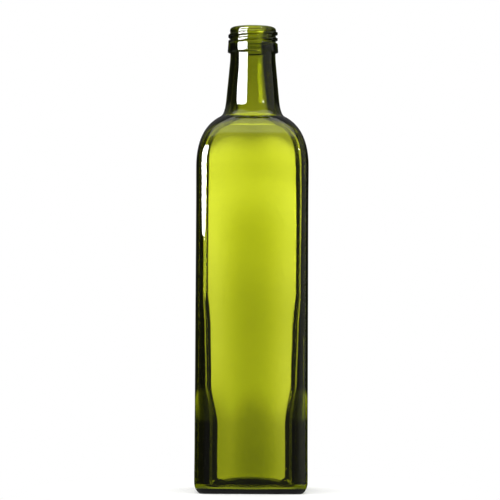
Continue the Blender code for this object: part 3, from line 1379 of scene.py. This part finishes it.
@dataclass(frozen=True)
class BackLight:
    """A tall narrow soft light that stands behind the bottle, seen only through the glass.

    Attributes:
        distance: how far it stands behind the bottle's axis.
        half_width: half the width of its bright part.
        edge: how far its glow fades out beyond that.
        height: how high it reaches.
        depth: how far it reaches below the height that the bottle stands at.
        foot: its radiance at its lower end.
        low: its radiance a little above that.
        peak: its radiance at its brightest.
        top: its radiance at its upper end.
        foot_rise: the heights between which it brightens from its foot.
        rise: the heights between which it brightens to its peak.
        fall: the heights between which it dims again.
    """

    distance: float = 0.9
    half_width: float = 0.07
    edge: float = 0.05
    height: float = 0.48
    depth: float = 0.12
    foot: float = 1.15
    low: float = 1.85
    peak: float = 2.6
    top: float = 0.95
    foot_rise: tuple[float, float] = (-0.01, 0.04)
    rise: tuple[float, float] = (0.10, 0.24)
    fall: tuple[float, float] = (0.25, 0.30)

    def material(self) -> bpy.types.Material:
        """Makes the light's glow, which rises and falls once along its height.

        Returns:
            The material.
        """
        material = bpy.data.materials.new("back_light")
        graph = Graph(material)
        _, across, _, up = graph.position()
        glow = self.foot + (self.low - self.foot) * up.step(*self.foot_rise)
        glow = glow + (self.peak - self.low) * up.step(*self.rise)
        glow = glow - (self.peak - self.top) * up.step(*self.fall)
        fade = 1 - abs(across).step(self.half_width, self.half_width + self.edge)
        graph.glow({"Color": glow * fade})
        return material

    def build(self) -> bpy.types.Object:
        """Makes the light and stands it behind the bottle.

        Returns:
            The light.
        """
        wide, low, tall = self.half_width + self.edge, -self.depth, self.height
        corners = [(-wide, 0, low), (wide, 0, low), (wide, 0, tall), (-wide, 0, tall)]
        light = stage_mesh("back_light", corners, [(0, 1, 2, 3)], {Ray.TRANSMISSION})
        light.data.materials.append(self.material())
        light.location = (0.0, self.distance, 0.0)
        return light


@dataclass(frozen=True)
class SoftBox:
    """A rounded light in front of the bottle, facing it.

    Its own values are those of the large one at the left, which the glass mirrors as pale strips.

    Attributes:
        name: its name.
        degrees: its direction from the bottle, to the left of the photo's camera.
        distance: its distance from the bottle's axis.
        height: how high its middle is.
        half_width: half its width.
        half_height: half its height.
        squareness: 2 for an ellipse, more for a fuller outline.
        radiance: how bright it is.
        shown_to: the kind of ray that sees it.
        count: the number of points in its outline.
    """

    name: str = "soft_box"
    degrees: float = 50.5
    distance: float = 1.0
    height: float = 0.553
    half_width: float = 0.45
    half_height: float = 0.36
    squareness: float = 4.0
    radiance: float = 32.0
    shown_to: Ray = Ray.GLOSSY
    count: int = 64

    def build(self) -> bpy.types.Object:
        """Makes the light and stands it in its place.

        Returns:
            The light.
        """
        points = rounded_outline(self.half_width, self.half_height, self.squareness, self.count)
        light = stage_mesh(self.name, points, [tuple(range(self.count))], {self.shown_to})
        material = bpy.data.materials.new(self.name)
        Graph(material).glow({"Strength": self.radiance})
        light.data.materials.append(material)
        angle = math.radians(self.degrees)
        across, towards = math.sin(angle) * self.distance, math.cos(angle) * self.distance
        light.location = (-across, -towards, self.height)
        light.rotation_euler = (QUARTER, 0.0, -angle)
        return light


@dataclass(frozen=True)
class Floor:
    """The plain pale floor, which fades into the backdrop.

    Attributes:
        radius: how far it reaches.
        squareness: 2, for a round one.
        pale: its colour.
        fade_from: how far from the bottle's axis it starts to fade.
        fade_to: how far from that axis it is as white as the backdrop.
        backdrop: the backdrop's colour.
        count: the number of points in its outline.
    """

    radius: float = 4.0
    squareness: float = 2.0
    pale: Colour = (0.93, 0.93, 0.92)
    fade_from: float = 0.0
    fade_to: float = 0.14
    backdrop: Colour = (1.0, 1.0, 1.0)
    count: int = 96

    def build(self) -> bpy.types.Object:
        """Makes the floor.

        Returns:
            The floor.
        """
        points = rounded_outline(self.radius, self.radius, self.squareness, self.count)
        shown_to = {Ray.CAMERA, Ray.DIFFUSE, Ray.SHADOW}
        floor = stage_mesh("floor", points, [tuple(range(self.count))], shown_to)
        material = bpy.data.materials.new("floor")
        graph = Graph(material)
        place, _, _, _ = graph.position()
        far = graph.node("ShaderNodeVectorMath", {"operation": "LENGTH"}, {0: place})
        share = graph.value(far, "Value").step(self.fade_from, self.fade_to)
        near = graph.node("ShaderNodeBsdfDiffuse", None, {"Color": (*self.pale, 1.0)})
        away = graph.node("ShaderNodeEmission", None, {"Color": (*self.backdrop, 1.0)})
        both = graph.node(
            "ShaderNodeMixShader", None, {0: share, 1: near.outputs[0], 2: away.outputs[0]}
        )
        graph.node("ShaderNodeOutputMaterial", None, {"Surface": both.outputs[0]})
        floor.data.materials.append(material)
        return floor


@dataclass(frozen=True)
class Room:
    """The studio's walls: white to look at; to the glass, dark all round, bright above and below.

    Attributes:
        seen: how bright the backdrop looks beside the bottle.
        through: how bright it is to rays that come out of the glass, all round.
        around: how bright it is in the glass's reflections, low down.
        overhead: how bright the ceiling light is to the glass.
        overhead_from: the elevation in degrees where the ceiling light starts.
        overhead_edge: over how many degrees it reaches its brightness.
        below: how bright the floor's side of the room is in those reflections.
        below_slopes: the sines of the slopes down between which that sets in.
        under: how bright that side is to rays that come out of the glass downwards.
        under_slopes: the sines of the slopes down between which that sets in.
        behind: what the room gains in the glass's reflections, higher up.
        behind_slopes: the sines of the slopes up between which that sets in.
        lighting: how much it lights the floor.
    """

    seen: float = 1.0
    through: float = 0.01
    around: float = 0.02
    overhead: float = 1.25
    overhead_from: float = 51.0
    overhead_edge: float = 7.0
    below: float = 0.26
    below_slopes: tuple[float, float] = (-0.6, -0.35)
    under: float = 1.3
    under_slopes: tuple[float, float] = (-0.2, -0.1)
    behind: float = 0.12
    behind_slopes: tuple[float, float] = (0.2, 0.42)
    lighting: float = 1.5

    def build(self) -> bpy.types.World:
        """Makes the world and gives it to the scene.

        Returns:
            The world.
        """
        world = bpy.data.worlds.new("room")
        graph = Graph(world)
        direction = graph.node("ShaderNodeTexCoord").outputs["Generated"]
        parts = graph.node("ShaderNodeSeparateXYZ", None, {0: direction})
        slope = graph.value(parts, "Z")
        start = math.sin(math.radians(self.overhead_from))
        end = math.sin(math.radians(self.overhead_from + self.overhead_edge))
        above = slope.step(start, end)
        through = self.through + self.overhead * above
        through = through + self.under * (1 - slope.step(*self.under_slopes))
        mirrored = self.around + self.behind * slope.step(*self.behind_slopes)
        mirrored = mirrored + (self.overhead - self.around - self.behind) * above
        low_down = 1 - slope.step(*self.below_slopes)
        mirrored = mirrored + (self.below - self.around) * low_down
        path = graph.node("ShaderNodeLightPath")
        glow = (
            graph.value(path, "Is Camera Ray") * self.seen
            + graph.value(path, "Is Transmission Ray") * through
            + graph.value(path, "Is Glossy Ray") * mirrored
            + graph.value(path, "Is Diffuse Ray") * self.lighting
        )
        sky = graph.node("ShaderNodeBackground", None, {"Color": glow})
        graph.node("ShaderNodeOutputWorld", None, {"Surface": sky.outputs[0]})
        bpy.context.scene.world = world
        return world


@dataclass(frozen=True)
class Surround:
    """The dim grey wall on the front's side of the room, which the glass mirrors faintly.

    Attributes:
        radius: its distance from the bottle.
        span: how many degrees it reaches round to either side.
        low: the height of its lower edge.
        high: the height of its upper edge.
        left: its radiance on the left.
        left_fade: the shares of the radius across between which that turns into the middle's.
        middle: its radiance in the middle.
        right_fade: the shares across between which that turns into the right's.
        right: its radiance on the right.
        columns: the number of its upright edges.
    """

    radius: float = 3.0
    span: float = 110.0
    low: float = -1.1
    high: float = 3.3
    left: float = 0.04
    left_fade: tuple[float, float] = (-0.8, -0.3)
    middle: float = 0.12
    right_fade: tuple[float, float] = (0.4, 0.95)
    right: float = 0.38
    columns: int = 45

    def material(self) -> bpy.types.Material:
        """Makes the wall's glow, which changes from the left to the right.

        Returns:
            The material.
        """
        material = bpy.data.materials.new("surround")
        graph = Graph(material)
        _, across, _, _ = graph.position()
        side = across / self.radius
        glow = self.left + (self.middle - self.left) * side.step(*self.left_fade)
        glow = glow + (self.right - self.middle) * side.step(*self.right_fade)
        graph.glow({"Color": glow})
        return material

    def build(self) -> bpy.types.Object:
        """Makes the wall.

        Returns:
            The wall.
        """
        points = []
        for angle in np.radians(np.linspace(-self.span, self.span, self.columns)):
            across, towards = self.radius * math.sin(angle), self.radius * math.cos(angle)
            points += [(across, -towards, self.low), (across, -towards, self.high)]
        faces = [(i, i + 2, i + 3, i + 1) for i in range(0, len(points) - 2, 2)]
        wall = stage_mesh("surround", points, faces, {Ray.GLOSSY})
        wall.data.materials.append(self.material())
        return wall


@dataclass(frozen=True)
class Studio:
    """The camera, and the room, the floor and the lights, which stand still in every view.

    Attributes:
        camera: the photograph's camera.
        back_light: the light behind the bottle.
        lights: the lights in front of it: a large one, a low one seen only through the glass
            and a small one at the right.
        surround: the dim wall that the glass mirrors.
        floor: the floor.
        room: the walls and the ceiling.
        bounces: how many surfaces light may pass through or meet.
        mirror_bounces: how many of them may mirror it.
    """

    camera: PhotoCamera = PhotoCamera()
    back_light: BackLight = BackLight()
    lights: tuple[SoftBox, ...] = (
        SoftBox(),
        SoftBox(
            name="fill",
            degrees=44.0,
            height=0.20,
            half_width=0.22,
            half_height=0.10,
            radiance=24.0,
            shown_to=Ray.TRANSMISSION,
        ),
        SoftBox(
            name="lamp",
            degrees=-46.0,
            height=0.72,
            half_width=0.045,
            half_height=0.045,
            squareness=2.0,
            radiance=40.0,
        ),
    )
    surround: Surround = Surround()
    floor: Floor = Floor()
    room: Room = Room()
    bounces: int = 32
    mirror_bounces: int = 16

    def settle_light(self) -> None:
        """Lets light pass through all four walls and keeps the colours plain."""
        scene = bpy.context.scene
        scene.cycles.max_bounces = self.bounces
        scene.cycles.transmission_bounces = self.bounces
        scene.cycles.glossy_bounces = self.mirror_bounces
        scene.cycles.sample_clamp_indirect = 0.0
        scene.view_settings.view_transform = "Standard"

    def build(self) -> None:
        """Makes the whole studio."""
        self.camera.build()
        self.back_light.build()
        for light in self.lights:
            light.build()
        self.surround.build()
        self.floor.build()
        self.room.build()
        self.settle_light()


def main() -> None:
    """Builds the studio and the bottle."""
    logging.basicConfig(level=logging.INFO, format="%(name)s: %(message)s")
    Studio().build()
    piece = Bottle().build(GreenGlass())
    log.info("%s: %d faces", piece.name, len(piece.data.polygons))


if __name__ == "__main__":
    main()
